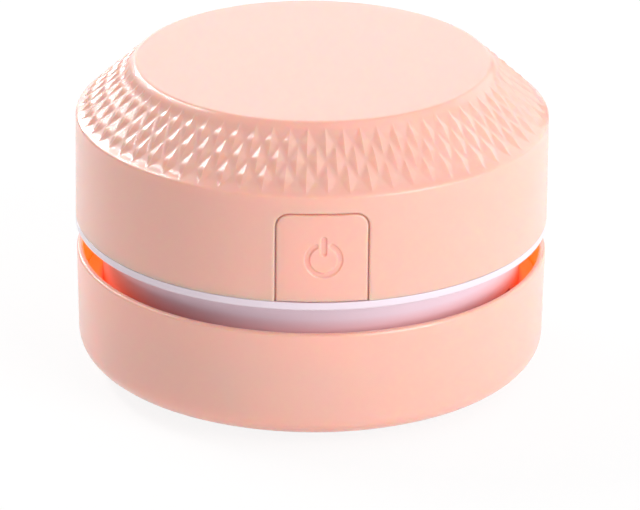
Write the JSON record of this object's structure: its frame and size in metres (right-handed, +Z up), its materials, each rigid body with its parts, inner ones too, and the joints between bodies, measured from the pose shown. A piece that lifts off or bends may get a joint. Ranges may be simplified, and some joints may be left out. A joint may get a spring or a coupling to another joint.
{
  "type": "desktop mini vacuum cleaner",
  "caption": "Round battery vacuum cleaner for a desk: knurled head with a button, motor and fan, lift-out filter and dust cup with bristles underneath.",
  "frame": {"origin": "on the table under the middle of the round body, where the glide feet stand", "axes": "+Z up along the body's axis, the power button faces -Y, +X to the right of someone facing the button"},
  "size_m": [0.0868, 0.0868, 0.0587],
  "materials": {
    "pink_plastic": "glossy peach-pink moulding",
    "white_trim": "satin white with a lavender cast",
    "bristle": "fine nylon bristle",
    "rubber": "soft matte",
    "grey_plastic": "moulded, satin",
    "white_nylon": "moulded, satin",
    "black_nylon": "moulded, satin",
    "foam": "open-cell foam",
    "steel": "plated",
    "bronze": "sintered",
    "red_lead": "wire insulation",
    "black_lead": "wire insulation",
    "board": "solder mask",
    "cell_foil": "laminated pouch foil"
  },
  "bodies": {
    "dust_cup": {"dust_cup": "pink_plastic", "brush_strip_1": "bristle", "brush_strip_2": "bristle", "brush_strip_3": "bristle", "brush_strip_4": "bristle", "glide_foot_1": "rubber", "glide_foot_2": "rubber", "glide_foot_3": "rubber", "glide_foot_4": "rubber"},
    "filter": {"filter_frame": "grey_plastic", "filter_screen": "white_nylon", "filter_pad": "foam"},
    "main_body": {"top_housing": "pink_plastic", "trim_ring": "white_trim", "chassis": "white_trim", "cup_seal": "rubber", "motor_plate": "white_nylon", "motor_can": "steel", "motor_end_cap": "black_nylon", "bush_front": "bronze", "bush_rear": "bronze", "motor_terminal_1": "bronze", "motor_terminal_2": "bronze", "motor_lead_1": "red_lead", "motor_lead_2": "black_lead", "circuit_board": "board", "tact_switch": "black_nylon", "usb_shell": "steel", "usb_tongue": "black_nylon", "battery_pad": "foam", "battery_cell": "cell_foil", "housing_screw_1": "steel", "housing_screw_2": "steel", "housing_screw_3": "steel", "housing_screw_4": "steel", "board_screw_1": "steel", "board_screw_2": "steel", "board_screw_3": "steel", "board_screw_4": "steel", "motor_screw_1": "steel", "motor_screw_2": "steel"},
    "button": {"power_button": "pink_plastic", "switch_plunger": "black_nylon"},
    "rotor": {"impeller": "black_nylon", "motor_shaft": "steel"}
  },
  "joints": [
    {"name": "filter_lift", "type": "slide", "parent": "dust_cup", "child": "filter", "axis": [0, 0, 1], "range_m": [0, 0.035]},
    {"name": "head_lift", "type": "slide", "parent": "filter", "child": "main_body", "axis": [0, 0, 1], "range_m": [0, 0.02]},
    {"name": "button_press", "type": "slide", "parent": "main_body", "child": "button", "axis": [0, 1, 0], "range_m": [0, 0.0008], "stiffness_N_per_m": 800},
    {"name": "rotor_spin", "type": "hinge", "parent": "main_body", "child": "rotor", "pos_m": [0, 0, 0.03], "axis": [0, 0, 1], "continuous": true}
  ]
}
